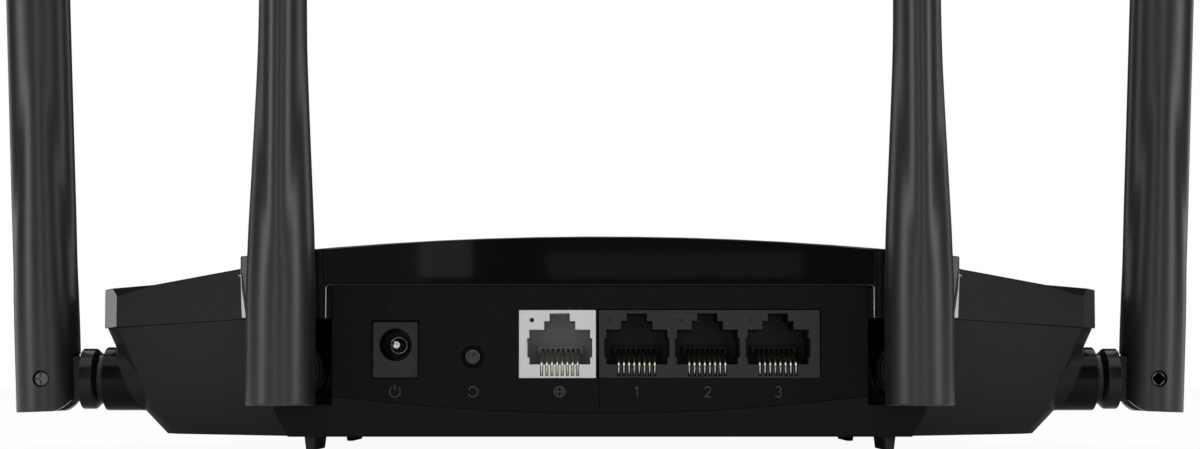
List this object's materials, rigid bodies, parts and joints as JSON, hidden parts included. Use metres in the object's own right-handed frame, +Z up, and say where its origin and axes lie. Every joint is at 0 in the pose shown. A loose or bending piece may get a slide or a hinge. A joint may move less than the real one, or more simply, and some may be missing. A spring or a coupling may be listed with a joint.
{
  "type": "wireless router",
  "caption": "Low black wireless router with a faceted case, a glossy lid, hinged antennas that fold and swivel, and a rear panel of network sockets.",
  "frame": {"origin": "on the surface that the feet stand on, under the middle of the whole object", "axes": "+Z up, ports face -Y, +X to the right when the ports are looked at"},
  "size_m": [0.2612, 0.1428, 0.186],
  "materials": {
    "black_shell": "fine-grained moulded black plastic",
    "black_cover": "satin black moulded plastic, glossy at the bevels",
    "black_gloss": "polished black plastic",
    "black_panel": "fine matt black plastic",
    "grey_socket": "light grey moulded nylon",
    "gold_contact": "gold-flashed spring wire",
    "black_socket": "dark grey moulded nylon",
    "nickel": "nickel-plated pin",
    "green_board": "green solder mask on glass-epoxy board",
    "steel_screw": "zinc-plated steel",
    "black_chip": "black moulded epoxy",
    "tin_can": "tinned steel",
    "clear_lens": "clear moulded plastic",
    "aluminium_fin": "extruded aluminium",
    "black_button": "satin black plastic",
    "rubber_foot": "black rubber",
    "black_lead": "black jacketed coaxial lead",
    "black_hinge": "glossy black moulded plastic",
    "satin_antenna": "satin black moulded plastic",
    "copper_strip": "etched copper on a thin board",
    "black_screw": "blackened steel"
  },
  "bodies": {
    "case": {"bottom_shell": "black_shell", "top_cover": "black_cover", "gloss_lid": "black_gloss", "port_panel": "black_panel", "wan_jack": "grey_socket", "wan_contacts": "gold_contact", "lan_jack_block": "black_socket", "lan_contacts": "gold_contact", "power_inlet": "black_socket", "power_pin": "nickel", "main_board": "green_board", "board_screws": "steel_screw", "case_screws": "steel_screw", "network_transformers": "black_chip", "processor_chip": "black_chip", "memory_chip": "black_chip", "radio_shields": "tin_can", "power_inductors": "black_chip", "status_leds": "clear_lens", "capacitors": "tin_can", "antenna_plugs": "gold_contact", "heat_sink": "aluminium_fin", "reset_switch": "black_chip", "light_guide": "clear_lens", "feet": "rubber_foot", "antenna_lead_outer_left": "black_lead", "antenna_lead_inner_left": "black_lead", "antenna_lead_inner_right": "black_lead", "antenna_lead_outer_right": "black_lead"},
    "button": {"reset_button": "black_button"},
    "hinge_outer_left": {"swivel_outer_left": "black_hinge", "clip_outer_left": "steel_screw"},
    "antenna_outer_left": {"sheath_outer_left": "satin_antenna", "radiator_outer_left": "copper_strip", "pivot_screw_outer_left": "black_screw"},
    "hinge_inner_left": {"swivel_inner_left": "black_hinge", "clip_inner_left": "steel_screw"},
    "antenna_inner_left": {"sheath_inner_left": "satin_antenna", "radiator_inner_left": "copper_strip", "pivot_screw_inner_left": "black_screw"},
    "hinge_inner_right": {"swivel_inner_right": "black_hinge", "clip_inner_right": "steel_screw"},
    "antenna_inner_right": {"sheath_inner_right": "satin_antenna", "radiator_inner_right": "copper_strip", "pivot_screw_inner_right": "black_screw"},
    "hinge_outer_right": {"swivel_outer_right": "black_hinge", "clip_outer_right": "steel_screw"},
    "antenna_outer_right": {"sheath_outer_right": "satin_antenna", "radiator_outer_right": "copper_strip", "pivot_screw_outer_right": "black_screw"}
  },
  "joints": [
    {"name": "reset_button_press", "type": "slide", "parent": "case", "child": "button", "axis": [0, 1, 0], "range_m": [0, 0.0004], "stiffness_N_per_m": 2500},
    {"name": "swivel_outer_left", "type": "hinge", "parent": "case", "child": "hinge_outer_left", "pos_m": [-0.1171, -0.0251, 0.0143], "axis": [1, 0, 0], "range_deg": [-90, 90]},
    {"name": "fold_outer_left", "type": "hinge", "parent": "hinge_outer_left", "child": "antenna_outer_left", "pos_m": [-0.1171, -0.0251, 0.0143], "axis": [0, -1, 0], "range_deg": [-2.3, 87.7]},
    {"name": "swivel_inner_left", "type": "hinge", "parent": "case", "child": "hinge_inner_left", "pos_m": [-0.0621, -0.0646, 0.016], "axis": [0, 1, 0], "range_deg": [-90, 35]},
    {"name": "fold_inner_left", "type": "hinge", "parent": "hinge_inner_left", "child": "antenna_inner_left", "pos_m": [-0.0621, -0.0646, 0.016], "axis": [1, 0, 0], "range_deg": [0, 90]},
    {"name": "swivel_inner_right", "type": "hinge", "parent": "case", "child": "hinge_inner_right", "pos_m": [0.0621, -0.0646, 0.016], "axis": [0, -1, 0], "range_deg": [-90, 35]},
    {"name": "fold_inner_right", "type": "hinge", "parent": "hinge_inner_right", "child": "antenna_inner_right", "pos_m": [0.0621, -0.0646, 0.016], "axis": [1, 0, 0], "range_deg": [0, 90]},
    {"name": "swivel_outer_right", "type": "hinge", "parent": "case", "child": "hinge_outer_right", "pos_m": [0.1171, -0.0251, 0.0143], "axis": [1, 0, 0], "range_deg": [-90, 90]},
    {"name": "fold_outer_right", "type": "hinge", "parent": "hinge_outer_right", "child": "antenna_outer_right", "pos_m": [0.1171, -0.0251, 0.0143], "axis": [0, 1, 0], "range_deg": [-2.3, 87.7]}
  ]
}
